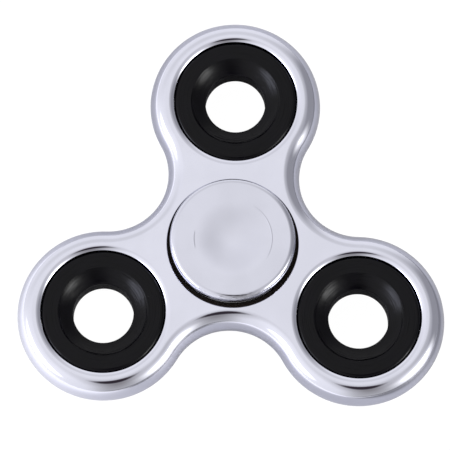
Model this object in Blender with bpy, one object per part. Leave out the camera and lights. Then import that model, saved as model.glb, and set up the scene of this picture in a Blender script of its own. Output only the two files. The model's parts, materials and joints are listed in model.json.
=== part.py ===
"""Fidget spinner: a three-lobed rotor on a ball bearing, pinched between two finger caps.

Metres, +Z up. The origin is on the spin axis, halfway through the thickness, and one lobe
points along +Y. The rotor (frame, ring weights, bearing outer ring, shields and snap rings)
turns round the hub (bearing inner ring and both caps). The balls and their cage roll between
the two rings.
"""

import math

import bmesh
import bpy
from mathutils import Matrix, Vector

MM = 0.001
FULL_TURN = 2.0 * math.pi

# Rotor frame: round lobes joined by concave flanks, with a rounded rim and four equal bores.
# The hub's bore opens with a chamfer, and each lobe's with a lip that rounds over to the face.
LOBE_COUNT = 3
FIRST_LOBE_ANGLE = math.radians(90.0)
LOBE_DISTANCE = 26.0 * MM
LOBE_RADIUS = 15.2 * MM
FLANK_RADIUS = 10.7 * MM
FRAME_HALF_HEIGHT = 3.9 * MM
RIM_WIDTH = 2.95 * MM
LIP_RADIUS = 1.45 * MM
LIP_TILT = math.radians(40.0)
CENTRE_CHAMFER = 0.6 * MM

# Bearing of the standard 8 x 22 x 7 mm size. The ring weights share its outer size.
BEARING_RADIUS = 11.0 * MM
BEARING_HALF_WIDTH = 3.5 * MM
BEARING_BORE = 4.0 * MM
BALL_COUNT = 7
BALL_RADIUS = 3.969 / 2.0 * MM
PITCH_RADIUS = 7.5 * MM
INNER_LAND = 6.05 * MM
OUTER_LAND = 8.95 * MM
RACE_CLEARANCE = 0.12 * MM
RING_CHAMFER = 0.3 * MM
LAND_CHAMFER = 0.2 * MM

# Seat for a shield and its snap ring, cut into each face of the outer ring.
SEAT_HEIGHT = 2.6 * MM
SEAT_RADIUS = 9.35 * MM
SNAP_GROOVE_RADIUS = 9.75 * MM
SNAP_GROOVE_LOW = 2.9 * MM
SNAP_GROOVE_HIGH = 3.35 * MM

# Shield: a pressed washer whose inner part stands a little proud of its flange.
SHIELD_INNER = 6.3 * MM
SHIELD_OUTER = 9.25 * MM
SHIELD_FLANGE = 8.75 * MM
SHIELD_THICKNESS = 0.2 * MM
SHIELD_STEP = 0.15 * MM
SNAP_RING_INNER = 9.0 * MM
SNAP_RING_OUTER = 9.65 * MM
SNAP_RING_OPENING = math.radians(28.0)

# Cage: two pressed ribbons that meet at mid-height and are riveted between the balls.
CAGE_INNER = 6.55 * MM
CAGE_OUTER = 8.45 * MM
CAGE_THICKNESS = 0.3 * MM
CAGE_SPLIT = 0.025 * MM
POCKET_CLEARANCE = 0.2 * MM
RIVET_RADIUS = 0.4 * MM
RIVET_HOLE = 0.46 * MM
RIVET_HEAD_RADIUS = 0.65 * MM
RIVET_CROWN_RADIUS = 0.45 * MM
RIVET_HEAD_HEIGHT = 0.28 * MM
RIVET_HOLE_DEPTH = 1.2 * MM

# Ring weight: countersunk from both faces down to a narrow throat.
THROAT_RADIUS = 5.34 * MM
THROAT_HALF_HEIGHT = 2.0 * MM
FUNNEL_RADIUS = 7.95 * MM
WEIGHT_CHAMFER = 0.35 * MM

# Finger cap: a round-edged button with a shallow dish, on a stem that fills the bearing bore.
CAP_RADIUS = 11.16 * MM
CAP_TOP = 6.55 * MM
CAP_UNDERSIDE = 4.3 * MM
CAP_TOP_ROUND = 1.15 * MM
CAP_UNDER_ROUND = 0.35 * MM
DISH_RADIUS = 6.9 * MM
DISH_DEPTH = 0.38 * MM
BOSS_RADIUS = 5.6 * MM
STEM_RADIUS = 3.93 * MM
PIN_RADIUS = 1.95 * MM
SOCKET_RADIUS = 2.02 * MM
PIN_LENGTH = 3.2 * MM
SOCKET_DEPTH = 3.3 * MM
PIN_CHAMFER = 0.3 * MM

FIT_GAP = 0.05 * MM

# How finely round shapes are divided.
RIM_STEPS = 6
LOBE_STEPS = 20
FLANK_STEPS = 8
LIP_STEPS = 2
BORE_STEPS = 36
WEIGHT_STEPS = 36
CAP_STEPS = 36
CAP_ROUND_STEPS = 3
DISH_STEPS = 3
BEARING_STEPS = 32
RACE_STEPS = 4
POCKET_STEPS = 6
BALL_SEGMENTS = 12
BALL_RINGS = 8
RIVET_STEPS = 8
MERGE_DISTANCE = 0.0005 * MM
SMOOTH_ANGLE = math.radians(35.0)

# The lower copy of a piece is the upper one turned over about the Y axis, which keeps the
# first lobe and the ball that lies on +Y in place.
TURNED_OVER = (0.0, math.pi, 0.0)


def clear_scene():
    for item in list(bpy.data.objects):
        bpy.data.objects.remove(item, do_unlink=True)


def make_material(name, colour, roughness, metallic):
    material = bpy.data.materials.new(name)
    material.use_nodes = True
    shader = material.node_tree.nodes["Principled BSDF"]
    shader.inputs["Base Color"].default_value = (*colour, 1.0)
    shader.inputs["Roughness"].default_value = roughness
    shader.inputs["Metallic"].default_value = metallic
    return material


def make_group(name, parent=None, location=(0.0, 0.0, 0.0)):
    empty = bpy.data.objects.new(name, None)
    bpy.context.scene.collection.objects.link(empty)
    empty.parent = parent
    empty.location = location
    return empty


def polar(radius, angle):
    return radius * math.cos(angle), radius * math.sin(angle)


def arc(centre_r, centre_z, radius, start, end, steps):
    """Points of a profile arc, from one angle to the other, both included."""
    points = []
    for step in range(steps + 1):
        across, up = polar(radius, start + (end - start) * step / steps)
        points.append((centre_r + across, centre_z + up))
    return points


def finish_mesh(name, bm, material):
    bmesh.ops.recalc_face_normals(bm, faces=bm.faces)
    mesh = bpy.data.meshes.new(name)
    bm.to_mesh(mesh)
    bm.free()
    mesh.materials.append(material)
    mesh.shade_smooth()
    mesh.set_sharp_from_angle(angle=SMOOTH_ANGLE)
    return mesh


def place(name, mesh, parent, location=(0.0, 0.0, 0.0), rotation=(0.0, 0.0, 0.0)):
    item = bpy.data.objects.new(name, mesh)
    bpy.context.scene.collection.objects.link(item)
    item.parent = parent
    item.location = location
    item.rotation_euler = rotation
    return item


def turn_profile(bm, profile, steps, sweep=FULL_TURN):
    """Spin a profile of (radius, height) points about Z.

    A profile that starts and ends on the axis makes a solid disc or pin, and any other is
    closed into a ring. A sweep of less than a full turn leaves a gap with flat ends.
    """
    verts = [bm.verts.new((radius, 0.0, height)) for radius, height in profile]
    edges = [bm.edges.new(pair) for pair in zip(verts, verts[1:])]
    on_axis = profile[0][0] == 0.0 and profile[-1][0] == 0.0
    if not on_axis:
        edges.append(bm.edges.new((verts[-1], verts[0])))
    full = sweep == FULL_TURN
    bmesh.ops.spin(
        bm,
        geom=verts + edges,
        cent=(0.0, 0.0, 0.0),
        axis=(0.0, 0.0, 1.0),
        angle=sweep,
        steps=steps,
        use_merge=full,
    )
    bmesh.ops.remove_doubles(bm, verts=bm.verts, dist=MERGE_DISTANCE)
    if not full:
        open_edges = [edge for edge in bm.edges if edge.is_boundary]
        bmesh.ops.holes_fill(bm, edges=open_edges, sides=len(profile))


def turned_mesh(name, profile, steps, material, sweep=FULL_TURN):
    bm = bmesh.new()
    turn_profile(bm, profile, steps, sweep)
    return finish_mesh(name, bm, material)


def skin_rings(bm, rings, closed=False):
    """Join each ring of vertices to the next with quads, and the last to the first if closed."""
    following = rings[1:] + rings[:1] if closed else rings[1:]
    for ring, next_ring in zip(rings, following):
        count = len(ring)
        for index in range(count):
            after = (index + 1) % count
            bm.faces.new((ring[index], ring[after], next_ring[after], next_ring[index]))


def frame_outline(inset):
    """The frame's outline, moved inwards by inset: tangent arcs about fixed centres."""
    sixth = FULL_TURN / (2 * LOBE_COUNT)
    reach = LOBE_RADIUS + FLANK_RADIUS
    side = LOBE_DISTANCE * math.sin(sixth)
    flank_distance = LOBE_DISTANCE * math.cos(sixth) + math.sqrt(reach ** 2 - side ** 2)
    across, along = polar(flank_distance, sixth)
    tangent = math.atan2(along, across - LOBE_DISTANCE)
    points = []
    for lobe in range(LOBE_COUNT):
        facing = FIRST_LOBE_ANGLE + 2 * sixth * lobe
        lobe_centre = Vector(polar(LOBE_DISTANCE, facing))
        flank_facing = facing + sixth
        flank_centre = Vector(polar(flank_distance, flank_facing))
        for step in range(LOBE_STEPS):
            angle = facing - tangent + 2 * tangent * step / LOBE_STEPS
            points.append(lobe_centre + Vector(polar(LOBE_RADIUS - inset, angle)))
        spread = tangent - sixth
        for step in range(FLANK_STEPS):
            angle = flank_facing + math.pi + spread - 2 * spread * step / FLANK_STEPS
            points.append(flank_centre + Vector(polar(FLANK_RADIUS + inset, angle)))
    return points


def bore_centres():
    centres = [Vector((0.0, 0.0))]
    for lobe in range(LOBE_COUNT):
        angle = FIRST_LOBE_ANGLE + FULL_TURN * lobe / LOBE_COUNT
        centres.append(Vector(polar(LOBE_DISTANCE, angle)))
    return centres


def bore_mouths():
    """Upper half of a bore's section: a chamfer at the hub, a rounded lip at each lobe."""
    bore = BEARING_RADIUS + FIT_GAP
    chamfer = [
        (bore, FRAME_HALF_HEIGHT - CENTRE_CHAMFER),
        (bore + CENTRE_CHAMFER, FRAME_HALF_HEIGHT),
    ]
    lip = arc(
        bore + LIP_RADIUS * math.sin(LIP_TILT),
        FRAME_HALF_HEIGHT - LIP_RADIUS,
        LIP_RADIUS,
        math.pi / 2 + LIP_TILT,
        math.pi / 2,
        LIP_STEPS,
    )
    return [chamfer] + [lip] * LOBE_COUNT


def build_frame(material, parent):
    bm = bmesh.new()
    walls = []
    rings = []
    for step in range(RIM_STEPS + 1):
        angle = math.pi * (step / RIM_STEPS - 0.5)
        inset = RIM_WIDTH * (1.0 - math.cos(angle))
        height = FRAME_HALF_HEIGHT * math.sin(angle)
        rings.append([bm.verts.new((x, y, height)) for x, y in frame_outline(inset)])
    walls.append(rings)
    for centre, upper in zip(bore_centres(), bore_mouths()):
        lower = [(radius, -height) for radius, height in reversed(upper)]
        rings = []
        for radius, height in lower + upper:
            ring = []
            for step in range(BORE_STEPS):
                x, y = centre + Vector(polar(radius, FULL_TURN * step / BORE_STEPS))
                ring.append(bm.verts.new((x, y, height)))
            rings.append(ring)
        walls.append(rings)
    for rings in walls:
        skin_rings(bm, rings)
    for end in (0, -1):
        rim_verts = {vert for rings in walls for vert in rings[end]}
        rim_edges = [edge for edge in bm.edges if set(edge.verts) <= rim_verts]
        bmesh.ops.triangle_fill(bm, use_beauty=True, edges=rim_edges)
    place("body_frame", finish_mesh("body_frame", bm, material), parent)


def build_weights(material, parent):
    half = [
        (THROAT_RADIUS, THROAT_HALF_HEIGHT),
        (FUNNEL_RADIUS, BEARING_HALF_WIDTH),
        (BEARING_RADIUS - WEIGHT_CHAMFER, BEARING_HALF_WIDTH),
        (BEARING_RADIUS, BEARING_HALF_WIDTH - WEIGHT_CHAMFER),
    ]
    profile = half + [(radius, -height) for radius, height in reversed(half)]
    mesh = turned_mesh("weight_ring", profile, WEIGHT_STEPS, material)
    for number, centre in enumerate(bore_centres()[1:], start=1):
        place(f"weight_ring_{number}", mesh, parent, (*centre, 0.0))


def race_arc(land_radius):
    """Upper half of a ball groove's section, from mid-height to where it meets its land."""
    groove = BALL_RADIUS + RACE_CLEARANCE
    outward = 1.0 if land_radius > PITCH_RADIUS else -1.0
    end = math.acos(abs(land_radius - PITCH_RADIUS) / groove)
    points = arc(0.0, 0.0, groove, 0.0, end, RACE_STEPS // 2)
    return [(PITCH_RADIUS + outward * across, height) for across, height in points]


def mirrored_ring_profile(upper):
    """A ring's whole section from its upper half, which starts and ends at mid-height."""
    lower = [(radius, -height) for radius, height in reversed(upper)]
    lower = [point for point in lower if point[1] != 0.0]
    return upper + lower


def build_bearing_rings(material, hub, rotor):
    inner = race_arc(INNER_LAND) + [
        (INNER_LAND, BEARING_HALF_WIDTH - LAND_CHAMFER),
        (INNER_LAND - LAND_CHAMFER, BEARING_HALF_WIDTH),
        (BEARING_BORE + RING_CHAMFER, BEARING_HALF_WIDTH),
        (BEARING_BORE, BEARING_HALF_WIDTH - RING_CHAMFER),
    ]
    inner_mesh = turned_mesh(
        "bearing_inner_ring", mirrored_ring_profile(inner), BEARING_STEPS, material
    )
    place("bearing_inner_ring", inner_mesh, hub)

    outer = race_arc(OUTER_LAND) + [
        (OUTER_LAND, SEAT_HEIGHT),
        (SEAT_RADIUS, SEAT_HEIGHT),
        (SEAT_RADIUS, SNAP_GROOVE_LOW),
        (SNAP_GROOVE_RADIUS, SNAP_GROOVE_LOW),
        (SNAP_GROOVE_RADIUS, SNAP_GROOVE_HIGH),
        (SEAT_RADIUS, SNAP_GROOVE_HIGH),
        (SEAT_RADIUS, BEARING_HALF_WIDTH),
        (BEARING_RADIUS - RING_CHAMFER, BEARING_HALF_WIDTH),
        (BEARING_RADIUS, BEARING_HALF_WIDTH - RING_CHAMFER),
    ]
    outer_mesh = turned_mesh(
        "bearing_outer_ring", mirrored_ring_profile(outer), BEARING_STEPS, material
    )
    place("bearing_outer_ring", outer_mesh, rotor)


def ball_angle(index):
    return FIRST_LOBE_ANGLE + FULL_TURN * index / BALL_COUNT


def build_balls(material, cage):
    bm = bmesh.new()
    bmesh.ops.create_uvsphere(
        bm, u_segments=BALL_SEGMENTS, v_segments=BALL_RINGS, radius=BALL_RADIUS
    )
    mesh = finish_mesh("bearing_ball", bm, material)
    for index in range(BALL_COUNT):
        centre = (*polar(PITCH_RADIUS, ball_angle(index)), 0.0)
        place(f"bearing_ball_{index + 1}", mesh, cage, centre)


def pocket_point(radius, start_height, step):
    """A point of a pocket's arch, as distance along the pitch circle and height."""
    start = math.asin(start_height / radius)
    angle = start + (math.pi - 2 * start) * step / POCKET_STEPS
    return -radius * math.cos(angle), radius * math.sin(angle)


def cage_section(bm, angle, under, over):
    """Four corners of the ribbon, at the two faces and the two edges."""
    corners = (
        (CAGE_INNER, under),
        (CAGE_OUTER, under),
        (CAGE_OUTER, over),
        (CAGE_INNER, over),
    )
    ring = []
    for radius, (along, height) in corners:
        x, y = polar(radius, angle + along / PITCH_RADIUS)
        ring.append(bm.verts.new((x, y, height)))
    return ring


def cage_mesh(material):
    """One ribbon: a flat stretch between balls, and an arch over each ball."""
    inside = BALL_RADIUS + POCKET_CLEARANCE
    bm = bmesh.new()
    rings = []
    for index in range(BALL_COUNT):
        for step in range(POCKET_STEPS + 1):
            under = pocket_point(inside, CAGE_SPLIT, step)
            over = pocket_point(inside + CAGE_THICKNESS, CAGE_SPLIT + CAGE_THICKNESS, step)
            rings.append(cage_section(bm, ball_angle(index), under, over))
    skin_rings(bm, rings, closed=True)
    return finish_mesh("cage_ribbon", bm, material)


def rivet_centres():
    half_pitch = FULL_TURN / (2 * BALL_COUNT)
    centres = []
    for index in range(BALL_COUNT):
        x, y = polar(PITCH_RADIUS, ball_angle(index) + half_pitch)
        centres.append(Vector((x, y, 0.0)))
    return centres


def rivet_hole_cutter(parent):
    bm = bmesh.new()
    for centre in rivet_centres():
        bmesh.ops.create_cone(
            bm,
            cap_ends=True,
            segments=RIVET_STEPS,
            radius1=RIVET_HOLE,
            radius2=RIVET_HOLE,
            depth=RIVET_HOLE_DEPTH,
            matrix=Matrix.Translation(centre),
        )
    mesh = bpy.data.meshes.new("rivet_hole_cutter")
    bm.to_mesh(mesh)
    bm.free()
    cutter = place("rivet_hole_cutter", mesh, parent)
    cutter.hide_render = True
    cutter.display_type = "WIRE"
    return cutter


def build_rivets(material, cage):
    """Each rivet has a low head against the outside of either ribbon."""
    under_head = CAGE_SPLIT + CAGE_THICKNESS + FIT_GAP / 2
    head_top = under_head + RIVET_HEAD_HEIGHT
    half = [
        (0.0, head_top),
        (RIVET_CROWN_RADIUS, head_top),
        (RIVET_HEAD_RADIUS, under_head),
        (RIVET_RADIUS, under_head),
    ]
    profile = half + [(radius, -height) for radius, height in reversed(half)]
    mesh = turned_mesh("cage_rivet", profile, RIVET_STEPS, material)
    for number, centre in enumerate(rivet_centres(), start=1):
        place(f"cage_rivet_{number}", mesh, cage, centre)


def build_cage(material, cage):
    cutter = rivet_hole_cutter(cage)
    mesh = cage_mesh(material)
    upper = place("cage_upper", mesh, cage)
    lower = place("cage_lower", mesh, cage, rotation=TURNED_OVER)
    for ribbon in (upper, lower):
        holes = ribbon.modifiers.new("rivet holes", "BOOLEAN")
        holes.operation = "DIFFERENCE"
        holes.object = cutter


def build_shields(shield_material, ring_material, rotor):
    flange_low = SEAT_HEIGHT + FIT_GAP
    raised_low = flange_low + SHIELD_STEP
    shield_profile = [
        (SHIELD_INNER, raised_low),
        (SHIELD_FLANGE - SHIELD_STEP, raised_low),
        (SHIELD_FLANGE, flange_low),
        (SHIELD_OUTER, flange_low),
        (SHIELD_OUTER, flange_low + SHIELD_THICKNESS),
        (SHIELD_FLANGE, flange_low + SHIELD_THICKNESS),
        (SHIELD_FLANGE - SHIELD_STEP, raised_low + SHIELD_THICKNESS),
        (SHIELD_INNER, raised_low + SHIELD_THICKNESS),
    ]
    shield = turned_mesh("shield", shield_profile, BEARING_STEPS, shield_material)

    ring_low = SNAP_GROOVE_LOW + FIT_GAP
    ring_high = SNAP_GROOVE_HIGH - FIT_GAP
    ring_profile = [
        (SNAP_RING_INNER, ring_low),
        (SNAP_RING_OUTER, ring_low),
        (SNAP_RING_OUTER, ring_high),
        (SNAP_RING_INNER, ring_high),
    ]
    sweep = FULL_TURN - SNAP_RING_OPENING
    snap_ring = turned_mesh("snap_ring", ring_profile, BEARING_STEPS, ring_material, sweep)

    for level, rotation in (("upper", (0.0, 0.0, 0.0)), ("lower", TURNED_OVER)):
        place(f"shield_{level}", shield, rotor, rotation=rotation)
        place(f"snap_ring_{level}", snap_ring, rotor, rotation=rotation)


def knob_profile():
    """From the middle of the dish, over the rim and back under it, to the top of the stem."""
    points = []
    for step in range(DISH_STEPS + 1):
        share = step / DISH_STEPS
        points.append((DISH_RADIUS * share, CAP_TOP - DISH_DEPTH * (1.0 - share ** 2)))
    for height, rounding, start in (
        (CAP_TOP - CAP_TOP_ROUND, CAP_TOP_ROUND, math.pi / 2),
        (CAP_UNDERSIDE + CAP_UNDER_ROUND, CAP_UNDER_ROUND, 0.0),
    ):
        end = start - math.pi / 2
        points += arc(CAP_RADIUS - rounding, height, rounding, start, end, CAP_ROUND_STEPS)
    shoulder = BEARING_HALF_WIDTH + FIT_GAP
    points += [(BOSS_RADIUS, CAP_UNDERSIDE), (BOSS_RADIUS, shoulder), (STEM_RADIUS, shoulder)]
    return points


def build_caps(material, hub):
    """Each stem stops just short of mid-height. The upper cap's pin fills the lower's socket."""
    stem_end = FIT_GAP
    pin = [
        (STEM_RADIUS, stem_end),
        (PIN_RADIUS, stem_end),
        (PIN_RADIUS, PIN_CHAMFER - PIN_LENGTH),
        (PIN_RADIUS - PIN_CHAMFER, -PIN_LENGTH),
        (0.0, -PIN_LENGTH),
    ]
    socket = [
        (STEM_RADIUS, stem_end),
        (SOCKET_RADIUS, stem_end),
        (SOCKET_RADIUS, SOCKET_DEPTH),
        (0.0, SOCKET_DEPTH),
    ]
    upper = turned_mesh("cap_upper", knob_profile() + pin, CAP_STEPS, material)
    lower = turned_mesh("cap_lower", knob_profile() + socket, CAP_STEPS, material)
    place("cap_upper", upper, hub)
    place("cap_lower", lower, hub, rotation=TURNED_OVER)


def build_spinner():
    clear_scene()
    chrome = make_material("chrome_plated_abs", (0.68, 0.68, 0.73), 0.08, 1.0)
    cap_chrome = make_material("chrome_plated_cap", (0.64, 0.64, 0.70), 0.12, 1.0)
    black_steel = make_material("black_oxide_steel", (0.015, 0.015, 0.017), 0.35, 0.6)
    bearing_steel = make_material("bearing_steel", (0.60, 0.60, 0.62), 0.15, 1.0)
    pressed_steel = make_material("pressed_steel", (0.50, 0.50, 0.52), 0.30, 1.0)

    hub = make_group("hub")
    rotor = make_group("rotor", hub)
    cage = make_group("cage", hub)
    build_frame(chrome, rotor)
    build_weights(black_steel, rotor)
    build_bearing_rings(bearing_steel, hub, rotor)
    build_balls(bearing_steel, cage)
    build_cage(pressed_steel, cage)
    build_rivets(bearing_steel, cage)
    build_shields(pressed_steel, bearing_steel, rotor)
    build_caps(cap_chrome, hub)


build_spinner()
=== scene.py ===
import json
import math
import bmesh
import bpy
from mathutils import Matrix, Vector


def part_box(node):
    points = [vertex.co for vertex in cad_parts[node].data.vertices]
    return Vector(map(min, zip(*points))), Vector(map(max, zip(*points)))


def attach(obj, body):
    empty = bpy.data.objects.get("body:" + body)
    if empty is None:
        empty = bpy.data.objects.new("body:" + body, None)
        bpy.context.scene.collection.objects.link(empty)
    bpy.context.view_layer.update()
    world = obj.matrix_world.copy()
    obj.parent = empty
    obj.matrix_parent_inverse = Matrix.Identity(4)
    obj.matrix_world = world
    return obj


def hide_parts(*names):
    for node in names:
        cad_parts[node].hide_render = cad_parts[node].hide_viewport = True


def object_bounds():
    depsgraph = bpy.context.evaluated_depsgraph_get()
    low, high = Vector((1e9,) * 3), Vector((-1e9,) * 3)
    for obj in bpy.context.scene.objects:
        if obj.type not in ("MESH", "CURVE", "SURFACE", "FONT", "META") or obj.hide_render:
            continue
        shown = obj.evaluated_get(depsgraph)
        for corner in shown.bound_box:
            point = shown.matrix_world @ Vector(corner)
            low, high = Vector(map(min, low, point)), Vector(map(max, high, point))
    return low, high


# Fidget spinner: fine surfaces, materials, a pale studio and the camera.
# Each visible piece stands for one CAD node, rides on that node's body and keeps its size.

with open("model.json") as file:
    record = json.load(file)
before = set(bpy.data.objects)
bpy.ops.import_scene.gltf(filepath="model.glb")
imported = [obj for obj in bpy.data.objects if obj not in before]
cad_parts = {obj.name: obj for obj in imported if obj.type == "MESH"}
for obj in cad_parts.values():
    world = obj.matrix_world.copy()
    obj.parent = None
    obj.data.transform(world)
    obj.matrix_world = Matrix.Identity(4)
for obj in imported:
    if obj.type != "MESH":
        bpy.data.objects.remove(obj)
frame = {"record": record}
CAD_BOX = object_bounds()

MM = 0.001
FULL_TURN = 2.0 * math.pi

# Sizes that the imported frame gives.
FRAME_HALF_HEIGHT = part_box("body_frame")[1].z
CAP_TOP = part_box("cap_upper")[1].z
CAP_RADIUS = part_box("cap_upper")[1].x
BEARING_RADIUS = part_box("bearing_outer_ring")[1].x
BEARING_HALF_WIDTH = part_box("bearing_outer_ring")[1].z
BALL_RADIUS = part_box("bearing_ball_1")[1].z
FLOOR_HEIGHT = CAD_BOX[0][2]


def middle(node):
    low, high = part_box(node)
    return (low + high) / 2.0


LOBE_DISTANCE = middle("weight_ring_1").y
PITCH_RADIUS = middle("bearing_ball_1").y

# The first lobe and the first ball both face this way from the axis.
FIRST_ANGLE = math.radians(90.0)

# Rotor frame.
LOBE_COUNT = 3
LOBE_RADIUS = 15.2 * MM
FLANK_RADIUS = 10.7 * MM
RIM_WIDTH = 2.95 * MM
LIP_ROUND = 1.45 * MM
LIP_TILT = math.radians(40.0)
LIP_START_ROUND = 0.08 * MM
CENTRE_CHAMFER = 0.6 * MM
CENTRE_ROUND = 0.25 * MM
CHAMFER_OFFSET = Vector((0.02, -0.27)) * MM
BORE_GAP = 0.05 * MM
BORE_RADIUS = BEARING_RADIUS + BORE_GAP
BORE_EDGE_ROUND = 0.1 * MM
SEAM_HEIGHT = 0.03 * MM
SEAM_HALF_WIDTH = 0.12 * MM

# Ring weights.
THROAT_RADIUS = 5.34 * MM
THROAT_HALF_HEIGHT = 2.0 * MM
THROAT_ROUND = 0.12 * MM
FUNNEL_RADIUS = 7.95 * MM
FUNNEL_HOLLOW = 0.14 * MM
FUNNEL_EDGE_ROUND = 0.1 * MM
SHOULDER_WIDTH = 0.28 * MM
SHOULDER_DROP = 0.3 * MM
WEIGHT_EDGE_ROUND = 0.8 * MM
# Grooves that the lathe left in the slope, at these of its FUNNEL_STEPS steps.
TURNING_DEPTH = 0.03 * MM
TURNING_MARKS = (2, 4, 7)
# Each weight is turned by so much more than the last, so that their marks differ.
WEIGHT_TURN = math.radians(100.0)

# Finger caps.
CAP_TOP_ROUND = 1.0 * MM
CAP_DRAFT = 0.15 * MM
CAP_UNDER_ROUND = 0.35 * MM
CAP_UNDERSIDE = 4.3 * MM
DISH_RADIUS = 6.9 * MM
DISH_DEPTH = 0.38 * MM
CREASE_HEIGHT = 0.03 * MM
CREASE_HALF_WIDTH = 0.12 * MM
# Extra points that the creases need across the edge of the dish, in their half widths.
CREASE_POINTS = (-1.0, -0.5, 0.5, 1.0)
# Arcs of the dish's edge that stand out: the way each faces and its half width.
CREASES = (
    (math.radians(15.0), math.radians(46.0)),
    (math.radians(183.0), math.radians(14.0)),
)
BOSS_RADIUS = 5.6 * MM
BOSS_ROOT_ROUND = 0.2 * MM
BOSS_END_ROUND = 0.1 * MM
STEM_RADIUS = 3.93 * MM
STEM_ROOT_ROUND = 0.05 * MM
STEM_END_ROUND = 0.1 * MM
STEM_GAP = 0.05 * MM
PIN_RADIUS = 1.95 * MM
PIN_LENGTH = 3.2 * MM
PIN_END_ROUND = 0.3 * MM
SOCKET_RADIUS = 2.02 * MM
SOCKET_DEPTH = 3.3 * MM
SOCKET_END_ROUND = 0.2 * MM

# Bearing. Bores, lands, inner, outer, flange and middle are radii; low and high are heights
# above mid-height.
BALL_COUNT = 7
INNER_BORE = 4.0 * MM
INNER_LAND = 6.05 * MM
OUTER_LAND = 8.95 * MM
INNER_LAND_ROUND = 0.25 * MM
RING_ROUND = 0.3 * MM
RACE_CLEARANCE = 0.03 * MM
SEAT_HEIGHT = 2.6 * MM
SEAT_RADIUS = 9.35 * MM
SEAT_ROUND = 0.1 * MM
SEAT_MOUTH_ROUND = 0.05 * MM
SNAP_GROOVE_RADIUS = 9.75 * MM
SNAP_GROOVE_LOW = 2.9 * MM
SNAP_GROOVE_HIGH = 3.35 * MM
SHIELD_INNER = 6.3 * MM
SHIELD_OUTER = 9.25 * MM
SHIELD_FLANGE = 8.75 * MM
SHIELD_LOW = 2.65 * MM
SHIELD_THICKNESS = 0.2 * MM
SHIELD_STEP = 0.15 * MM
SHIELD_BEND_ROUND = 0.08 * MM
SHIELD_EDGE_ROUND = 0.03 * MM
SNAP_RING_MIDDLE = 9.42 * MM
SNAP_RING_HEIGHT = 3.125 * MM
SNAP_WIRE_RADIUS = 0.17 * MM
SNAP_RING_OPENING = math.radians(28.0)
# The rounded start of the snap ring's wire: (distance along it, size), in wire radii.
SNAP_WIRE_START = ((-0.9, 0.45), (-0.6, 0.8))
CAGE_INNER = 6.55 * MM
CAGE_OUTER = 8.45 * MM
CAGE_THICKNESS = 0.3 * MM
CAGE_SPLIT = 0.025 * MM
CAGE_EDGE_ROUND = 0.04 * MM
CAGE_EDGE_ANGLE = math.radians(50.0)
POCKET_CLEARANCE = 0.2 * MM
RIVET_RADIUS = 0.4 * MM
RIVET_HOLE_RADIUS = 0.46 * MM
RIVET_HEAD_RADIUS = 0.65 * MM
RIVET_HEAD_HEIGHT = 0.28 * MM
RIVET_HEAD_ROUND = 0.3 * MM
RIVET_CROWN_RADIUS = 0.75 * RIVET_HEAD_RADIUS
RIVET_EDGE_ROUND = 0.04 * MM

# How finely curves are divided.
ARC_STEP = math.radians(7.5)
TURN_STEPS = 240
LOBE_STEPS = 80
FLANK_STEPS = 40
RIM_STEPS = 60
LIP_STEPS = 10
FUNNEL_STEPS = 24
DISH_STEPS = 24
RACE_STEPS = 10
POCKET_STEPS = 28
RIVET_STEPS = 32
RIVET_HOLE_STEPS = 24
SNAP_RING_STEPS = 120
SNAP_WIRE_STEPS = 16
BALL_SUBDIVISIONS = 5
CAGE_EDGE_STEPS = 2
SHARP_ANGLE = math.radians(40.0)

# A straight stretch of a profile longer than LONG_STRETCH gets a point HOLD inside each end,
# which keeps flat faces flat in reflections.
LONG_STRETCH = 0.6 * MM
HOLD = 0.05 * MM

ORIGIN = (0.0, 0.0, 0.0)
UPRIGHT = (0.0, 0.0, 0.0)
TURNED_OVER = (0.0, math.pi, 0.0)


def polar(radius, angle):
    return Vector((radius * math.cos(angle), radius * math.sin(angle)))


def rounded_corner(before, corner, after, radius):
    """Points of an arc that rounds a corner of a profile, tangent to both of its sides."""
    to_before = (before - corner).normalized()
    to_after = (after - corner).normalized()
    opening = to_before.angle(to_after)
    bisector = (to_before + to_after).normalized()
    centre = corner + bisector * (radius / math.sin(opening / 2.0))
    reach = radius / math.tan(opening / 2.0)
    start = corner + to_before * reach - centre
    turn = math.pi - opening
    if start.cross(corner + to_after * reach - centre) < 0.0:
        turn = -turn
    steps = max(2, round(abs(turn) / ARC_STEP))
    points = []
    for step in range(steps + 1):
        angle = turn * step / steps
        across = start.x * math.cos(angle) - start.y * math.sin(angle)
        up = start.x * math.sin(angle) + start.y * math.cos(angle)
        points.append(centre + Vector((across, up)))
    return points


def soft_profile(corners, closed):
    """Turn (radius, height, rounding) corners into the points of a smooth profile."""
    places = [Vector(corner[:2]) for corner in corners]
    groups = []
    for index, (place, corner) in enumerate(zip(places, corners)):
        inner = closed or 0 < index < len(corners) - 1
        rounding = corner[2] if len(corner) > 2 else 0.0
        if inner and rounding > 0.0:
            after = places[(index + 1) % len(places)]
            groups.append(rounded_corner(places[index - 1], place, after, rounding))
        else:
            groups.append([place])
    points = []
    for index, group in enumerate(groups):
        points += group
        if index + 1 < len(groups) or closed:
            start = group[-1]
            end = groups[(index + 1) % len(groups)][0]
            if (end - start).length > LONG_STRETCH:
                inset = (end - start).normalized() * HOLD
                points += [start + inset, end - inset]
    return points


def turned_over(corners):
    """The same corners below mid-height, in reverse order."""
    return [(corner[0], -corner[1], *corner[2:]) for corner in reversed(corners)]


def mirrored(upper):
    """A closed section from its upper half, whose ends meet the lower half's ends."""
    return upper + turned_over(upper)


def finish_mesh(name, bm):
    bmesh.ops.recalc_face_normals(bm, faces=bm.faces)
    mesh = bpy.data.meshes.new(name)
    bm.to_mesh(mesh)
    bm.free()
    mesh.shade_smooth()
    mesh.set_sharp_from_angle(angle=SHARP_ANGLE)
    return mesh


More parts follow.
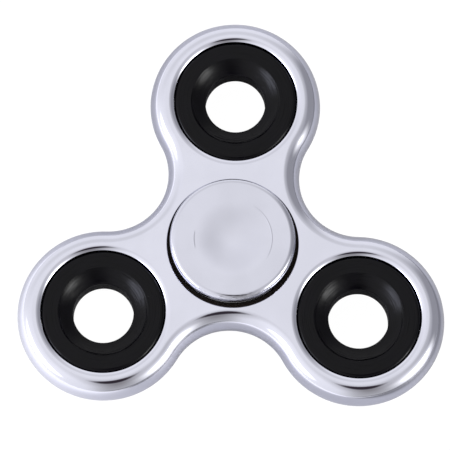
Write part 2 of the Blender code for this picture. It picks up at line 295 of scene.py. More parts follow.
def skin_rings(bm, rings, closed=False):
    """Join each ring of vertices to the next. A ring of one vertex closes the skin to a point."""
    following = rings[1:] + rings[:1] if closed else rings[1:]
    for ring, next_ring in zip(rings, following):
        count = max(len(ring), len(next_ring))
        for index in range(count):
            after = (index + 1) % count
            if len(ring) == 1:
                bm.faces.new((ring[0], next_ring[after], next_ring[index]))
            elif len(next_ring) == 1:
                bm.faces.new((ring[index], ring[after], next_ring[0]))
            else:
                bm.faces.new((ring[index], ring[after], next_ring[after], next_ring[index]))


def ring_of_verts(bm, centre, radius, height, steps=TURN_STEPS):
    """Vertices in a level ring about an upright axis through centre."""
    ring = []
    for step in range(steps):
        x, y = centre + polar(radius, FULL_TURN * step / steps)
        ring.append(bm.verts.new((x, y, height)))
    return ring


def turned_mesh(name, corners, steps=TURN_STEPS):
    """A solid of revolution. A profile that begins and ends on the axis isn't closed."""
    on_axis = corners[0][0] == 0.0
    axis = Vector((0.0, 0.0))
    bm = bmesh.new()
    rings = []
    for radius, height in soft_profile(corners, closed=not on_axis):
        if radius == 0.0:
            rings.append([bm.verts.new((*axis, height))])
        else:
            rings.append(ring_of_verts(bm, axis, radius, height, steps))
    skin_rings(bm, rings, closed=not on_axis)
    return finish_mesh(name, bm)


def paint(mesh, material, is_chosen):
    """Give a second material to the faces that is_chosen picks."""
    mesh.materials.append(material)
    for face in mesh.polygons:
        if is_chosen(face):
            face.material_index = 1


def add_piece(node, mesh, material, location=ORIGIN, rotation=UPRIGHT):
    """Show a fine piece in place of a CAD node, on the node's body."""
    mesh.materials.clear()
    mesh.materials.append(material)
    piece = bpy.data.objects.new(f"{node}_fine", mesh)
    bpy.context.scene.collection.objects.link(piece)
    piece.location = location
    piece.rotation_euler = rotation
    for body, members in frame["record"]["behaviour"]["bodies"].items():
        if node in members:
            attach(piece, body)
    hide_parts(node)
    return piece


# --- Rotor frame and its weights ---------------------------------------------------------


def frame_outline(inset):
    """The frame's outline, moved inwards by inset: tangent arcs about fixed centres."""
    sixth = FULL_TURN / (2 * LOBE_COUNT)
    reach = LOBE_RADIUS + FLANK_RADIUS
    side = LOBE_DISTANCE * math.sin(sixth)
    flank_distance = LOBE_DISTANCE * math.cos(sixth) + math.sqrt(reach ** 2 - side ** 2)
    across, along = polar(flank_distance, sixth)
    tangent = math.atan2(along, across - LOBE_DISTANCE)
    spread = tangent - sixth
    points = []
    for lobe in range(LOBE_COUNT):
        facing = FIRST_ANGLE + 2 * sixth * lobe
        lobe_centre = polar(LOBE_DISTANCE, facing)
        flank_facing = facing + sixth
        flank_centre = polar(flank_distance, flank_facing)
        for step in range(LOBE_STEPS):
            angle = facing - tangent + 2 * tangent * step / LOBE_STEPS
            points.append(lobe_centre + polar(LOBE_RADIUS - inset, angle))
        for step in range(FLANK_STEPS):
            angle = flank_facing + math.pi + spread - 2 * spread * step / FLANK_STEPS
            points.append(flank_centre + polar(FLANK_RADIUS + inset, angle))
    return points


def rim_profile():
    """(inset, height) from the lower face to the upper: half an ellipse with a moulding seam."""
    points = [(RIM_WIDTH + HOLD, -FRAME_HALF_HEIGHT)]
    angles = [math.pi * (step / RIM_STEPS - 0.5) for step in range(RIM_STEPS + 1)]
    seam = SEAM_HALF_WIDTH / FRAME_HALF_HEIGHT
    angles = sorted(angles + [-seam, -0.5 * seam, 0.5 * seam, seam])
    for angle in angles:
        height = FRAME_HALF_HEIGHT * math.sin(angle)
        ridge = SEAM_HEIGHT * max(0.0, 1.0 - abs(angle) / seam)
        points.append((RIM_WIDTH * (1.0 - math.cos(angle)) - ridge, height))
    points.append((RIM_WIDTH + HOLD, FRAME_HALF_HEIGHT))
    return points


def centre_bore_corners():
    """Upper half of the hub's bore: straight wall, then a chamfer up to the face."""
    mouth = BORE_RADIUS + CENTRE_CHAMFER
    return [
        (BORE_RADIUS, FRAME_HALF_HEIGHT - CENTRE_CHAMFER, BORE_EDGE_ROUND),
        (mouth, FRAME_HALF_HEIGHT, CENTRE_ROUND),
        (mouth + 0.5 * CENTRE_ROUND, FRAME_HALF_HEIGHT),
    ]


def lobe_bore_corners():
    """Upper half of a lobe's bore: straight wall, then a lip that rounds over to the face."""
    mouth = BORE_RADIUS + LIP_ROUND * math.sin(LIP_TILT)
    corners = []
    for step in range(LIP_STEPS, -1, -1):
        tilt = LIP_TILT * step / LIP_STEPS
        drop = LIP_ROUND * (1.0 - math.cos(tilt))
        corners.append((mouth - LIP_ROUND * math.sin(tilt), FRAME_HALF_HEIGHT - drop))
    corners[0] = (*corners[0], LIP_START_ROUND)
    corners.append((mouth + 2.0 * HOLD, FRAME_HALF_HEIGHT))
    return corners


def lobe_centres():
    return [middle(f"weight_ring_{number}") for number in range(1, LOBE_COUNT + 1)]


def bore_rings(bm, centre, corners, mouth_offset):
    """Rings up a whole bore from its upper half, moved aside by mouth_offset at its mouths."""
    rings = []
    for radius, height in soft_profile(turned_over(corners) + corners, closed=False):
        shift = mouth_offset * min(1.0, (radius - BORE_RADIUS) / CENTRE_CHAMFER)
        rings.append(ring_of_verts(bm, centre.xy + shift, radius, height))
    return rings


def build_frame(material, hub_shade_material):
    bm = bmesh.new()
    rim = []
    for inset, height in rim_profile():
        rim.append([bm.verts.new((*point, height)) for point in frame_outline(inset)])
    walls = [rim, bore_rings(bm, Vector(ORIGIN), centre_bore_corners(), CHAMFER_OFFSET)]
    for centre in lobe_centres():
        walls.append(bore_rings(bm, centre, lobe_bore_corners(), Vector((0.0, 0.0))))
    for rings in walls:
        skin_rings(bm, rings)
    for end in (0, -1):
        edge_verts = {vert for rings in walls for vert in rings[end]}
        edges = [edge for edge in bm.edges if set(edge.verts) <= edge_verts]
        bmesh.ops.triangle_fill(bm, use_beauty=True, edges=edges)
    mesh = finish_mesh("body_frame", bm)
    add_piece("body_frame", mesh, material)

    def in_hub_shade(face):
        from_mouth = face.center.xy - CHAMFER_OFFSET
        return from_mouth.length < BORE_RADIUS + CENTRE_CHAMFER

    # The hub's chamfer and bore are coloured dark: painted shade for the gap under the cap.
    paint(mesh, hub_shade_material, in_hub_shade)


def funnel_corners():
    """The slope from a weight's throat to its shoulder, hollowed most half way, with marks."""
    rise = BEARING_HALF_WIDTH - SHOULDER_DROP - THROAT_HALF_HEIGHT
    spread = FUNNEL_RADIUS - SHOULDER_WIDTH - THROAT_RADIUS
    corners = []
    for step in range(1, FUNNEL_STEPS):
        share = step / FUNNEL_STEPS
        hollow = 4.0 * FUNNEL_HOLLOW * share * (1.0 - share)
        mark = TURNING_DEPTH if step in TURNING_MARKS else 0.0
        height = THROAT_HALF_HEIGHT + rise * share - hollow - mark
        corners.append((THROAT_RADIUS + spread * share, height))
    return corners


def build_weights(material, shaded_throat_material):
    corners = [(THROAT_RADIUS, THROAT_HALF_HEIGHT, THROAT_ROUND)]
    corners += funnel_corners()
    corners += [
        (FUNNEL_RADIUS - SHOULDER_WIDTH, BEARING_HALF_WIDTH - SHOULDER_DROP),
        (FUNNEL_RADIUS, BEARING_HALF_WIDTH, FUNNEL_EDGE_ROUND),
        (BEARING_RADIUS, BEARING_HALF_WIDTH, WEIGHT_EDGE_ROUND),
    ]
    corners = mirrored(corners)

    def in_throat(face):
        return abs(face.center.z) < THROAT_HALF_HEIGHT

    for number, centre in enumerate(lobe_centres(), start=1):
        node = f"weight_ring_{number}"
        mesh = turned_mesh(node, corners)
        turn = (0.0, 0.0, WEIGHT_TURN * number)
        add_piece(node, mesh, material, location=centre, rotation=turn)
        # The throat gets a duller copy of the blackened steel: painted shade for the depth of the
        # bore.
        paint(mesh, shaded_throat_material, in_throat)


# --- Finger caps -------------------------------------------------------------------------


def dished(radius):
    """Height of the cap's face: a shallow dish that runs out level at its edge."""
    return CAP_TOP - DISH_DEPTH * max(0.0, 1.0 - (radius / DISH_RADIUS) ** 2) ** 2


def knob_corners():
    """From the middle of the dish, over the rim and back under it, to the top of the stem."""
    corners = []
    for step in range(DISH_STEPS + 1):
        radius = DISH_RADIUS * step / DISH_STEPS
        corners.append((radius, dished(radius)))
    for offset in CREASE_POINTS:
        radius = DISH_RADIUS + offset * CREASE_HALF_WIDTH
        corners.append((radius, dished(radius)))
    corners.sort()
    shoulder = BEARING_HALF_WIDTH + STEM_GAP
    corners += [
        (CAP_RADIUS - CAP_DRAFT, CAP_TOP, CAP_TOP_ROUND),
        (CAP_RADIUS, CAP_UNDERSIDE, CAP_UNDER_ROUND),
        (BOSS_RADIUS, CAP_UNDERSIDE, BOSS_ROOT_ROUND),
        (BOSS_RADIUS, shoulder, BOSS_END_ROUND),
        (STEM_RADIUS, shoulder, STEM_ROOT_ROUND),
    ]
    return corners


def raise_creases(mesh):
    """Leave faint raised arcs on two sides of the dish's edge, tapering at their ends."""
    for vert in mesh.vertices:
        offset = (vert.co.xy.length - DISH_RADIUS) / CREASE_HALF_WIDTH
        if vert.co.z < CAP_UNDERSIDE or abs(offset) >= 1.0:
            continue
        facing = math.atan2(vert.co.y, vert.co.x)
        for middle_facing, half_width in CREASES:
            away = math.remainder(facing - middle_facing, FULL_TURN) / half_width
            if abs(away) < 1.0:
                vert.co.z += CREASE_HEIGHT * (1.0 - offset ** 2) * math.sqrt(1.0 - away ** 2)


def build_caps(material):
    pin = [
        (STEM_RADIUS, STEM_GAP, STEM_END_ROUND),
        (PIN_RADIUS, STEM_GAP, STEM_END_ROUND),
        (PIN_RADIUS, -PIN_LENGTH, PIN_END_ROUND),
        (0.0, -PIN_LENGTH),
    ]
    socket = [
        (STEM_RADIUS, STEM_GAP, STEM_END_ROUND),
        (SOCKET_RADIUS, STEM_GAP, STEM_END_ROUND),
        (SOCKET_RADIUS, SOCKET_DEPTH, SOCKET_END_ROUND),
        (0.0, SOCKET_DEPTH),
    ]
    upper = turned_mesh("cap_upper", knob_corners() + pin)
    lower = turned_mesh("cap_lower", knob_corners() + socket)
    raise_creases(upper)
    add_piece("cap_upper", upper, material)
    add_piece("cap_lower", lower, material, rotation=TURNED_OVER)


# --- Bearing -----------------------------------------------------------------------------


def race_corners(land_radius):
    """Upper half of a ball groove's section, from mid-height out to the edge of its land."""
    groove = BALL_RADIUS + RACE_CLEARANCE
    outward = 1.0 if land_radius > PITCH_RADIUS else -1.0
    end = math.acos(abs(land_radius - PITCH_RADIUS) / groove)
    corners = []
    for step in range(1, RACE_STEPS + 1):
        across, up = polar(groove, end * step / RACE_STEPS)
        corners.append((PITCH_RADIUS + outward * across, up))
    return corners


def build_bearing_rings(material):
    inner = race_corners(INNER_LAND) + [
        (INNER_LAND, BEARING_HALF_WIDTH, INNER_LAND_ROUND),
        (INNER_BORE, BEARING_HALF_WIDTH, RING_ROUND),
    ]
    outer = race_corners(OUTER_LAND) + [
        (OUTER_LAND, SEAT_HEIGHT, SEAT_ROUND),
        (SEAT_RADIUS, SEAT_HEIGHT),
        (SEAT_RADIUS, SNAP_GROOVE_LOW),
        (SNAP_GROOVE_RADIUS, SNAP_GROOVE_LOW),
        (SNAP_GROOVE_RADIUS, SNAP_GROOVE_HIGH),
        (SEAT_RADIUS, SNAP_GROOVE_HIGH),
        (SEAT_RADIUS, BEARING_HALF_WIDTH, SEAT_MOUTH_ROUND),
        (BEARING_RADIUS, BEARING_HALF_WIDTH, RING_ROUND),
    ]
    for node, corners in (("bearing_inner_ring", inner), ("bearing_outer_ring", outer)):
        add_piece(node, turned_mesh(node, mirrored(corners)), material)


def build_balls(material):
    for number in range(1, BALL_COUNT + 1):
        node = f"bearing_ball_{number}"
        bm = bmesh.new()
        bmesh.ops.create_icosphere(bm, subdivisions=BALL_SUBDIVISIONS, radius=BALL_RADIUS)
        mesh = finish_mesh(node, bm)
        add_piece(node, mesh, material, location=middle(node))


def pocket_point(radius, start_height, share):
    """A point of a pocket's arch, as distance along the pitch circle and height."""
    start = math.asin(start_height / radius)
    angle = start + (math.pi - 2 * start) * share
    return -radius * math.cos(angle), radius * math.sin(angle)


def ribbon_mesh(name):
    """Half the cage: a ribbon that arches over each ball, with flats between."""
    inside = BALL_RADIUS + POCKET_CLEARANCE
    outside = inside + CAGE_THICKNESS
    top = CAGE_SPLIT + CAGE_THICKNESS
    bm = bmesh.new()
    rings = []
    for index in range(BALL_COUNT):
        facing = FIRST_ANGLE + FULL_TURN * index / BALL_COUNT
        for step in range(POCKET_STEPS + 1):
            under = pocket_point(inside, CAGE_SPLIT, step / POCKET_STEPS)
            over = pocket_point(outside, top, step / POCKET_STEPS)
            ring = []
            for radius, (along, height) in (
                (CAGE_INNER, under),
                (CAGE_OUTER, under),
                (CAGE_OUTER, over),
                (CAGE_INNER, over),
            ):
                x, y = polar(radius, facing + along / PITCH_RADIUS)
                ring.append(bm.verts.new((x, y, height)))
            rings.append(ring)
    skin_rings(bm, rings, closed=True)
    return finish_mesh(name, bm)


def rivet_hole_cutter():
    bm = bmesh.new()
    for number in range(1, BALL_COUNT + 1):
        bmesh.ops.create_cone(
            bm,
            cap_ends=True,
            segments=RIVET_HOLE_STEPS,
            radius1=RIVET_HOLE_RADIUS,
            radius2=RIVET_HOLE_RADIUS,
            depth=4.0 * CAGE_THICKNESS,
            matrix=Matrix.Translation(middle(f"cage_rivet_{number}")),
        )
    mesh = bpy.data.meshes.new("rivet_hole_cutter")
    bm.to_mesh(mesh)
    bm.free()
    cutter = bpy.data.objects.new("rivet_hole_cutter", mesh)
    bpy.context.scene.collection.objects.link(cutter)
    return cutter


def build_cage(ribbon_material, rivet_material):
    cutter = rivet_hole_cutter()
    for node, rotation in (("cage_upper", UPRIGHT), ("cage_lower", TURNED_OVER)):
        mesh = ribbon_mesh(node)
        piece = add_piece(node, mesh, ribbon_material, rotation=rotation)
        holes = piece.modifiers.new("rivet holes", "BOOLEAN")
        holes.operation = "DIFFERENCE"
        holes.object = cutter
        depsgraph = bpy.context.evaluated_depsgraph_get()
        drilled = bpy.data.meshes.new_from_object(piece.evaluated_get(depsgraph))
        piece.modifiers.remove(holes)
        piece.data = drilled
        edges = piece.modifiers.new("pressed edges", "BEVEL")
        edges.width = CAGE_EDGE_ROUND
        edges.segments = CAGE_EDGE_STEPS
        edges.limit_method = "ANGLE"
        edges.angle_limit = CAGE_EDGE_ANGLE
    bpy.data.objects.remove(cutter)

    under_head = CAGE_SPLIT + CAGE_THICKNESS
    head_top = under_head + RIVET_HEAD_HEIGHT
    corners = [
        (0.0, head_top),
        (RIVET_CROWN_RADIUS, head_top, RIVET_HEAD_ROUND),
        (RIVET_HEAD_RADIUS, under_head, RIVET_EDGE_ROUND),
        (RIVET_RADIUS, under_head),
    ]
    for number in range(1, BALL_COUNT + 1):
        node = f"cage_rivet_{number}"
        mesh = turned_mesh(node, mirrored(corners), steps=RIVET_STEPS)
        add_piece(node, mesh, rivet_material, location=middle(node))


def shield_corners():
    """A pressed shield's section: a low flange outside and a raised plate inside."""
    underside = [
        (SHIELD_INNER, SHIELD_LOW + SHIELD_STEP, SHIELD_EDGE_ROUND),
        (SHIELD_FLANGE - SHIELD_STEP, SHIELD_LOW + SHIELD_STEP, SHIELD_BEND_ROUND),
        (SHIELD_FLANGE, SHIELD_LOW, SHIELD_BEND_ROUND),
        (SHIELD_OUTER, SHIELD_LOW, SHIELD_EDGE_ROUND),
    ]
    top = [(radius, low + SHIELD_THICKNESS, rounding) for radius, low, rounding in underside]
    return underside + top[::-1]


def snap_ring_mesh(name):
    """A round wire bent into an open ring, with rounded ends."""
    sweep = FULL_TURN - SNAP_RING_OPENING
    wire_radius_turn = SNAP_WIRE_RADIUS / SNAP_RING_MIDDLE
    lead = [(wire_radius_turn * along, size) for along, size in SNAP_WIRE_START]
    spine = [(sweep * step / SNAP_RING_STEPS, 1.0) for step in range(SNAP_RING_STEPS + 1)]
    tail = [(sweep - angle, size) for angle, size in reversed(lead)]
    bm = bmesh.new()
    rings = []
    for angle, size in lead + spine + tail:
        ring = []
        for step in range(SNAP_WIRE_STEPS):
            across, up = polar(SNAP_WIRE_RADIUS * size, FULL_TURN * step / SNAP_WIRE_STEPS)
            x, y = polar(SNAP_RING_MIDDLE + across, angle)
            ring.append(bm.verts.new((x, y, SNAP_RING_HEIGHT + up)))
        rings.append(ring)
    skin_rings(bm, rings)
    for ring in (rings[0], rings[-1]):
        bm.faces.new(ring)
    return finish_mesh(name, bm)


def build_shields(shield_material, ring_material):
    for level, rotation in (("upper", UPRIGHT), ("lower", TURNED_OVER)):
        shield = f"shield_{level}"
        mesh = turned_mesh(shield, shield_corners())
        add_piece(shield, mesh, shield_material, rotation=rotation)
        ring = f"snap_ring_{level}"
        add_piece(ring, snap_ring_mesh(ring), ring_material, rotation=rotation)


# --- Materials ---------------------------------------------------------------------------

WHITE = (1.0, 1.0, 1.0)
CHROME = (0.675, 0.68, 0.765)
CHROME_SMUDGED = (0.64, 0.645, 0.725)
# Painted shade: the dark colour of the hub's chamfer and bore, where shade falls in the gap under
# the cap.
HUB_SHADE_COLOUR = (0.012, 0.008, 0.006)
BLACKENED = (0.0004, 0.0003, 0.001)
BLOOMED = (0.001, 0.0008, 0.002)
RING_STEEL = (0.5, 0.5, 0.51)
BALL_STEEL = (0.6, 0.6, 0.61)
CAGE_STEEL = (0.52, 0.5, 0.47)
RIVET_STEEL = (0.55, 0.54, 0.52)
SHIELD_STEEL = (0.5, 0.5, 0.5)
SPRING_STEEL = (0.32, 0.31, 0.3)

# Noise seldom leaves this range, so a change from one look to another is made inside it.
NOISE_LOW = 0.3
NOISE_HIGH = 0.7
# A wave texture of scale 1 turns through this many radians in a metre.
WAVE_RATE = 20.0

# Burrs lie within this height of the frame's seam.
BURR_REACH = 0.5 * MM
# The cap's plating is a little darker than the frame's.
CAP_TONE = 0.935
# The cap's rim is rougher than its face, fully so from this far inside its edge outwards.
RIM_DULLNESS = 0.06
RIM_DULL_INSET = 0.4 * MM
# The streaks on its rim begin and are at their full depth this far along Y.
STREAKS_START = -0.65 * CAP_RADIUS
STREAKS_FULL = -0.9 * CAP_RADIUS


def opaque(colour):
    return (*colour, 1.0)


def toned(colour, tone):
    return [tone * channel for channel in colour]


class Nodes:
    """A node tree, with short ways to add nodes. A value is a constant or another socket."""

    def __init__(self, tree):
        self.tree = tree

    def plug(self, socket, value):
        if isinstance(value, bpy.types.NodeSocket):
            self.tree.links.new(value, socket)
        else:
            socket.default_value = value

    def node(self, kind, **inputs):
        """Add a node; inputs are given by socket name, with _ for a space."""
        made = self.tree.nodes.new(kind)
        for name, value in inputs.items():
            self.plug(made.inputs[name.replace("_", " ")], value)
        return made

    def math(self, operation, first, second=0.0):
        made = self.tree.nodes.new("ShaderNodeMath")
        made.operation = operation
        self.plug(made.inputs[0], first)
        self.plug(made.inputs[1], second)
        return made.outputs["Value"]

    def hypotenuse(self, x, y):
        squared = self.math("ADD", self.math("MULTIPLY", x, x), self.math("MULTIPLY", y, y))
        return self.math("SQRT", squared)

    def component(self, vector, axis):
        """The dot product of a vector with a fixed axis."""
        made = self.tree.nodes.new("ShaderNodeVectorMath")
        made.operation = "DOT_PRODUCT"
        self.plug(made.inputs[0], vector)
        self.plug(made.inputs[1], axis)
        return made.outputs["Value"]

    def between(self, value, start, end, low=0.0, high=1.0):
        """Map a value that runs from start to end onto low to high, with soft ends."""
        made = self.node("ShaderNodeMapRange", Value=value, From_Min=start, From_Max=end)
        made.interpolation_type = "SMOOTHSTEP"
        self.plug(made.inputs["To Min"], low)
        self.plug(made.inputs["To Max"], high)
        return made.outputs["Result"]

    def mix(self, share, first, second):
        """The first colour at a share of 0, the second at 1."""
        made = self.tree.nodes.new("ShaderNodeMix")
        made.data_type = "RGBA"
        inputs = {socket.identifier: socket for socket in made.inputs}
        self.plug(inputs["Factor_Float"], share)
        self.plug(inputs["A_Color"], first)
        self.plug(inputs["B_Color"], second)
        outputs = {socket.identifier: socket for socket in made.outputs}
        return outputs["Result_Color"]


class Finish(Nodes):
    """A principled material whose detail comes from noise in the piece's own coordinates."""

    def __init__(self, name, colour, metallic, roughness, shine=0.5):
        self.material = bpy.data.materials.new(name)
        self.material.use_nodes = True
        super().__init__(self.material.node_tree)
        self.shader = self.tree.nodes["Principled BSDF"]
        self.shader.inputs["Base Color"].default_value = opaque(colour)
        self.shader.inputs["Metallic"].default_value = metallic
        self.shader.inputs["Roughness"].default_value = roughness
        self.shader.inputs["Specular IOR Level"].default_value = shine
        self.place = self.node("ShaderNodeTexCoord").outputs["Object"]

    def coordinates(self):
        return self.node("ShaderNodeSeparateXYZ", Vector=self.place).outputs

    def radius(self):
        """Distance from the piece's upright axis."""
        x, y, _ = self.coordinates()
        return self.hypotenuse(x, y)

    def noise(self, size, detail=3.0, stretch=(1.0, 1.0, 1.0)):
        """Noise from 0 to 1 with features of the given size, drawn out by stretch."""
        mapping = self.node("ShaderNodeMapping", Vector=self.place)
        mapping.inputs["Scale"].default_value = [1.0 / (size * share) for share in stretch]
        vector = mapping.outputs["Vector"]
        made = self.node("ShaderNodeTexNoise", Vector=vector, Scale=1.0, Detail=detail)
        return made.outputs["Fac"]

    def streaks(self, width, per_radian):
        """Noise from 0 to 1 in streaks round the piece's upright axis.

        A radian counts as the distance per_radian, which sets how long the streaks are.
        """
        x, y, z = self.coordinates()
        along = self.math("MULTIPLY", self.math("ARCTAN2", y, x), per_radian)
        vector = self.node("ShaderNodeCombineXYZ", X=along, Y=self.radius(), Z=z)
        vector = vector.outputs["Vector"]
        made = self.node("ShaderNodeTexNoise", Vector=vector, Scale=1.0 / width)
        return made.outputs["Fac"]

    def turned_rings(self, spacing, wander):
        """Fine rings about the piece's axis, as a lathe leaves them."""
        made = self.node("ShaderNodeTexWave", Vector=self.place, Distortion=wander)
        made.wave_type = "RINGS"
        made.rings_direction = "Z"
        made.inputs["Scale"].default_value = FULL_TURN / (WAVE_RATE * spacing)
        return made.outputs["Fac"]

    def roughness_from(self, noise, low, high):
        roughness = self.between(noise, NOISE_LOW, NOISE_HIGH, low, high)
        self.plug(self.shader.inputs["Roughness"], roughness)

    def colour_from(self, level, first, second):
        """Mix two colours by noise, or by any other level from 0 to 1."""
        share = self.between(level, NOISE_LOW, NOISE_HIGH)
        colour = self.mix(share, opaque(first), opaque(second))
        self.plug(self.shader.inputs["Base Color"], colour)

    def emboss(self, height, depth):
        """Bump by a height from 0 to 1 times a depth, on top of any bump already there."""
        normal = self.shader.inputs["Normal"]
        bump = self.node("ShaderNodeBump", Height=height, Distance=depth, Strength=1.0)
        if normal.links:
            self.plug(bump.inputs["Normal"], normal.links[0].from_socket)
        self.plug(normal, bump.outputs["Normal"])


def plated(name, haze, waviness, tone=1.0):
    """Bright plating on moulded plastic: handling haze, slight waviness and hair scratches."""
    clean = toned(CHROME, tone)
    finish = Finish(name, clean, metallic=1.0, roughness=haze)
    finish.roughness_from(finish.noise(5.0 * MM), low=0.6 * haze, high=1.7 * haze)
    finish.colour_from(finish.noise(9.0 * MM), clean, toned(CHROME_SMUDGED, tone))
    finish.emboss(finish.noise(4.0 * MM, detail=1.0), depth=waviness)
    finish.emboss(finish.noise(0.9 * MM, detail=2.0), depth=0.07 * waviness)
    hairs = finish.noise(0.15 * MM, detail=0.0, stretch=(40.0, 1.0, 1.0))
    finish.emboss(finish.between(hairs, start=0.7, end=0.8), depth=0.0003 * MM)
    return finish


def plated_frame():
    """Plating with small burrs along the frame's moulding seam."""
    finish = plated("plated_frame_fine", haze=0.045, waviness=0.006 * MM)
    from_seam = finish.math("ABSOLUTE", finish.coordinates()["Z"])
    by_seam = finish.between(from_seam, start=BURR_REACH, end=0.0)
    burrs = finish.between(finish.noise(0.5 * MM, detail=1.0), start=0.76, end=0.82)
    finish.emboss(finish.math("MULTIPLY", by_seam, burrs), depth=0.02 * MM)
    return finish.material


def plated_cap():
    """Plating with a duller rim, marked by short streaks that run round its near side."""
    finish = plated("plated_cap_fine", haze=0.07, waviness=0.014 * MM, tone=CAP_TONE)
    rim_start = CAP_RADIUS - CAP_TOP_ROUND
    rim = finish.between(finish.radius(), start=rim_start, end=CAP_RADIUS - RIM_DULL_INSET)
    near = finish.between(finish.coordinates()["Y"], start=STREAKS_START, end=STREAKS_FULL)
    streaks = finish.streaks(0.45 * MM, per_radian=0.14 * CAP_RADIUS)
    streaks = finish.between(streaks, start=0.45, end=0.7)
    near_rim = finish.math("MULTIPLY", rim, near)
    finish.emboss(finish.math("MULTIPLY", near_rim, streaks), depth=0.05 * MM)
    roughness = finish.shader.inputs["Roughness"]
    haze = roughness.links[0].from_socket
    finish.plug(roughness, finish.math("ADD", haze, finish.math("MULTIPLY", rim, RIM_DULLNESS)))
    return finish.material


def painted_hub_shade():
    """Painted shade: a dark colour inside the hub, on its chamfer and bore, standing in for the
    shade in the gap under the cap.
    """
    finish = Finish("hub_shade_fine", HUB_SHADE_COLOUR, metallic=0.0, roughness=0.5, shine=0.2)
    grain = finish.noise(0.3 * MM)
    finish.roughness_from(grain, low=0.4, high=0.6)
    finish.emboss(grain, depth=0.01 * MM)
    return finish.material


def blackened_steel(name, shine):
    """Blackened steel with lathe rings, shallow uneven streaks round it and a faint bloom."""
    finish = Finish(name, BLACKENED, metallic=0.0, roughness=0.2, shine=shine)
    bloom = finish.noise(2.5 * MM)
    finish.roughness_from(bloom, low=0.15, high=0.25)
    finish.colour_from(bloom, BLACKENED, BLOOMED)
    finish.emboss(finish.turned_rings(0.33 * MM, wander=0.6), depth=0.006 * MM)
    finish.emboss(finish.streaks(0.3 * MM, per_radian=0.5 * MM), depth=0.06 * MM)
    finish.emboss(finish.noise(0.12 * MM), depth=0.0012 * MM)
    return finish.material


def ground_steel(name, colour, roughness):
    """Hardened bearing steel, ground in rings."""
    finish = Finish(name, colour, metallic=1.0, roughness=roughness)
    film = finish.noise(1.5 * MM)
    finish.roughness_from(film, low=0.8 * roughness, high=1.4 * roughness)
    finish.colour_from(film, colour, toned(colour, 0.85))
    finish.emboss(finish.turned_rings(0.18 * MM, wander=0.3), depth=0.001 * MM)
    return finish.material


def pressed_steel(name, colour, roughness):
    """Thin sheet steel with a satin surface and the marks of the press."""
    finish = Finish(name, colour, metallic=1.0, roughness=roughness)
    film = finish.noise(1.2 * MM)
    finish.roughness_from(film, low=0.85 * roughness, high=1.3 * roughness)
    finish.colour_from(film, colour, toned(colour, 0.9))
    finish.emboss(finish.noise(0.2 * MM, stretch=(4.0, 1.0, 1.0)), depth=0.003 * MM)
    return finish.material


# --- Studio ------------------------------------------------------------------------------

CAMERA_DISTANCE = 600.0 * MM
CAMERA_LEAN = math.radians(14.31)
CAMERA_SIDE_LEAN = math.radians(-0.389)
CAMERA_ROLL = math.radians(1.191)
CAMERA_SHIFT_X = -1.312 * MM
CAMERA_SHIFT_Y = 3.934 * MM
NEAR_CLIP = 10.0 * MM
# Sensor width and lens in millimetres, as a camera takes them.
SENSOR_WIDTH = 36.0
LENS = 270.0


def build_camera():
    """A long lens, 76 degrees above the horizon in front of the object, rolled a little."""
    camera = bpy.data.objects.new("camera", bpy.data.cameras.new("camera"))
    camera.data.sensor_width = SENSOR_WIDTH
    camera.data.lens = LENS
    camera.data.clip_start = NEAR_CLIP
    turn = Matrix.Rotation(CAMERA_ROLL, 4, "Z")
    turn = turn @ Matrix.Rotation(CAMERA_SIDE_LEAN, 4, "Y")
    turn = turn @ Matrix.Rotation(CAMERA_LEAN, 4, "X")
    place = Matrix.Translation((CAMERA_SHIFT_X, CAMERA_SHIFT_Y, CAMERA_DISTANCE))
    camera.matrix_world = turn @ place
    bpy.context.scene.collection.objects.link(camera)
    bpy.context.scene.camera = camera


FLOOR_HALF_SIZE = 3.0
FLOOR_ROUGHNESS = 0.6
# In reflections the floor carries a painted pool of light, a glow beside the left softbox,
# and painted shade on the near right. Each change happens within its reach, two distances
# along the way it faces.
FLOOR_PALE = (0.52, 0.52, 0.54)
FLOOR_LIT = 0.72
FLOOR_LIT_FACING = math.radians(-153.0)
FLOOR_LIT_REACH = (15.0 * MM, 75.0 * MM)
FLOOR_SHADED = (0.2, 0.2, 0.21)
FLOOR_SHADED_FACING = math.radians(-20.0)
FLOOR_SHADED_REACH = (10.0 * MM, 100.0 * MM)
# The camera sees mostly this even glow in its place.
FLOOR_GLOW = 1.12
FLOOR_GLOW_SHARE = 0.88


def floor_material():
    finish = Finish("floor", FLOOR_PALE, metallic=0.0, roughness=FLOOR_ROUGHNESS)
    # Painted shade: the floor's colour darkens towards the near right.
    shaded = finish.component(finish.place, polar(1.0, FLOOR_SHADED_FACING).to_3d())
    finish.colour_from(finish.between(shaded, *FLOOR_SHADED_REACH), FLOOR_PALE, FLOOR_SHADED)
    # A painted pool of light: the floor glows beside the left softbox.
    lit = finish.component(finish.place, polar(1.0, FLOOR_LIT_FACING).to_3d())
    lit = finish.between(lit, *FLOOR_LIT_REACH, low=0.0, high=FLOOR_LIT)
    finish.plug(finish.shader.inputs["Emission Color"], opaque(WHITE))
    finish.plug(finish.shader.inputs["Emission Strength"], lit)

    glow = finish.node("ShaderNodeEmission", Color=opaque(WHITE), Strength=FLOOR_GLOW)
    to_camera = finish.node("ShaderNodeLightPath").outputs["Is Camera Ray"]
    share = finish.math("MULTIPLY", to_camera, FLOOR_GLOW_SHARE)
    mix = finish.node("ShaderNodeMixShader", Fac=share)
    finish.plug(mix.inputs[1], finish.shader.outputs["BSDF"])
    finish.plug(mix.inputs[2], glow.outputs["Emission"])
    finish.plug(finish.tree.nodes["Material Output"].inputs["Surface"], mix.outputs["Shader"])
    return finish.material


def build_floor():
    mesh = bpy.data.meshes.new("floor")
    bm = bmesh.new()
    bmesh.ops.create_grid(bm, x_segments=1, y_segments=1, size=FLOOR_HALF_SIZE)
    bm.to_mesh(mesh)
    bm.free()
    mesh.materials.append(floor_material())
    floor = bpy.data.objects.new("floor", mesh)
    floor.location.z = FLOOR_HEIGHT
    bpy.context.scene.collection.objects.link(floor)


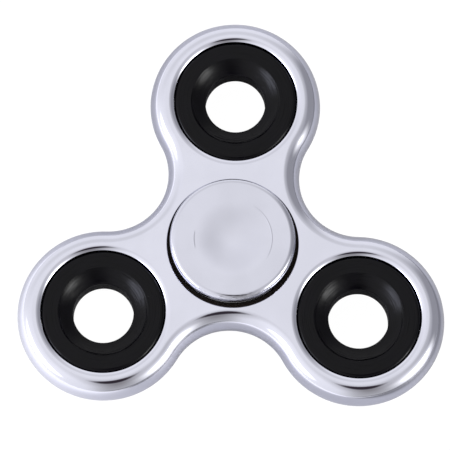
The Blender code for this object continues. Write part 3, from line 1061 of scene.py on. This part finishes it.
# Broad soft patches of the surroundings, later ones over earlier ones:
# (azimuth, elevation, half width, half height, softness, colour), angles in degrees.
SURROUNDINGS = {
    "dull_ceiling": (20.0, 69.0, 20.0, 9.0, 0.7, (0.86, 0.86, 0.87)),
    "ceiling_light": (88.0, 78.0, 8.0, 8.0, 0.8, (1.2, 1.2, 1.21)),
    "far_wall": (90.0, 50.0, 39.0, 15.0, 0.6, (0.92, 0.92, 0.93)),
    "grey_wall": (22.0, 18.0, 33.0, 48.0, 0.38, (0.40, 0.40, 0.42)),
    "left_softbox": (-160.0, 5.0, 26.0, 48.0, 0.72, (1.45, 1.45, 1.45)),
    "right_softbox": (-30.0, 24.0, 22.0, 22.0, 0.44, (1.7, 1.7, 1.65)),
    "near_wall": (-75.0, 10.0, 22.0, 24.0, 0.6, (0.7, 0.7, 0.7)),
    "skirting": (-62.0, 2.0, 24.0, 5.0, 0.7, (0.33, 0.33, 0.34)),
    "photographer": (-75.0, 48.0, 15.0, 31.0, 0.98, (0.36, 0.35, 0.35)),
    "camera_body": (-78.0, 70.0, 9.5, 13.0, 0.35, (0.045, 0.035, 0.045)),
    "left_lamp": (-158.0, 26.0, 18.0, 10.0, 0.6, (8.0, 8.2, 9.8)),
    "right_lamp": (-28.0, 28.0, 11.0, 8.5, 0.6, (12.5, 12.5, 12.5)),
}
SKY = (1.1, 1.1, 1.12)
# A patch is whole where a direction's cosine with its middle is above this, and gone at 0.
PATCH_WHOLE = 0.35


def patch_cover(nodes, direction, azimuth, elevation, half_width, half_height, softness):
    """1 inside a patch of the surroundings and 0 outside it, with a soft edge between."""
    turn = Matrix.Rotation(math.radians(azimuth), 3, "Z")
    turn = turn @ Matrix.Rotation(math.radians(-elevation), 3, "Y")
    ahead = nodes.component(direction, turn.col[0])
    across = nodes.component(direction, turn.col[1] / math.sin(math.radians(half_width)))
    upward = nodes.component(direction, turn.col[2] / math.sin(math.radians(half_height)))
    from_middle = nodes.hypotenuse(across, upward)
    inside = nodes.between(from_middle, start=1.0 + softness, end=1.0 - softness)
    in_front = nodes.between(ahead, start=0.0, end=PATCH_WHOLE)
    return nodes.math("MULTIPLY", inside, in_front)


def build_world():
    world = bpy.data.worlds.new("studio")
    world.use_nodes = True
    nodes = Nodes(world.node_tree)
    direction = nodes.node("ShaderNodeTexCoord").outputs["Generated"]
    colour = opaque(SKY)
    for *shape, patch_colour in SURROUNDINGS.values():
        cover = patch_cover(nodes, direction, *shape)
        colour = nodes.mix(cover, colour, opaque(patch_colour))
    nodes.plug(nodes.tree.nodes["Background"].inputs["Color"], colour)
    bpy.context.scene.world = world


build_frame(plated_frame(), painted_hub_shade())
build_weights(
    blackened_steel("black_weight_fine", shine=0.155),
    # A copy with little shine for the throats: painted shade.
    blackened_steel("black_throat_shaded_fine", shine=0.02),
)
build_caps(plated_cap())
build_bearing_rings(ground_steel("ring_steel_fine", RING_STEEL, roughness=0.22))
build_balls(ground_steel("ball_steel_fine", BALL_STEEL, roughness=0.08))
build_cage(
    pressed_steel("cage_steel_fine", CAGE_STEEL, roughness=0.32),
    pressed_steel("rivet_steel_fine", RIVET_STEEL, roughness=0.25),
)
build_shields(
    pressed_steel("shield_steel_fine", SHIELD_STEEL, roughness=0.3),
    ground_steel("spring_steel_fine", SPRING_STEEL, roughness=0.3),
)
build_floor()
build_world()
build_camera()
bpy.context.scene.view_settings.view_transform = "Standard"
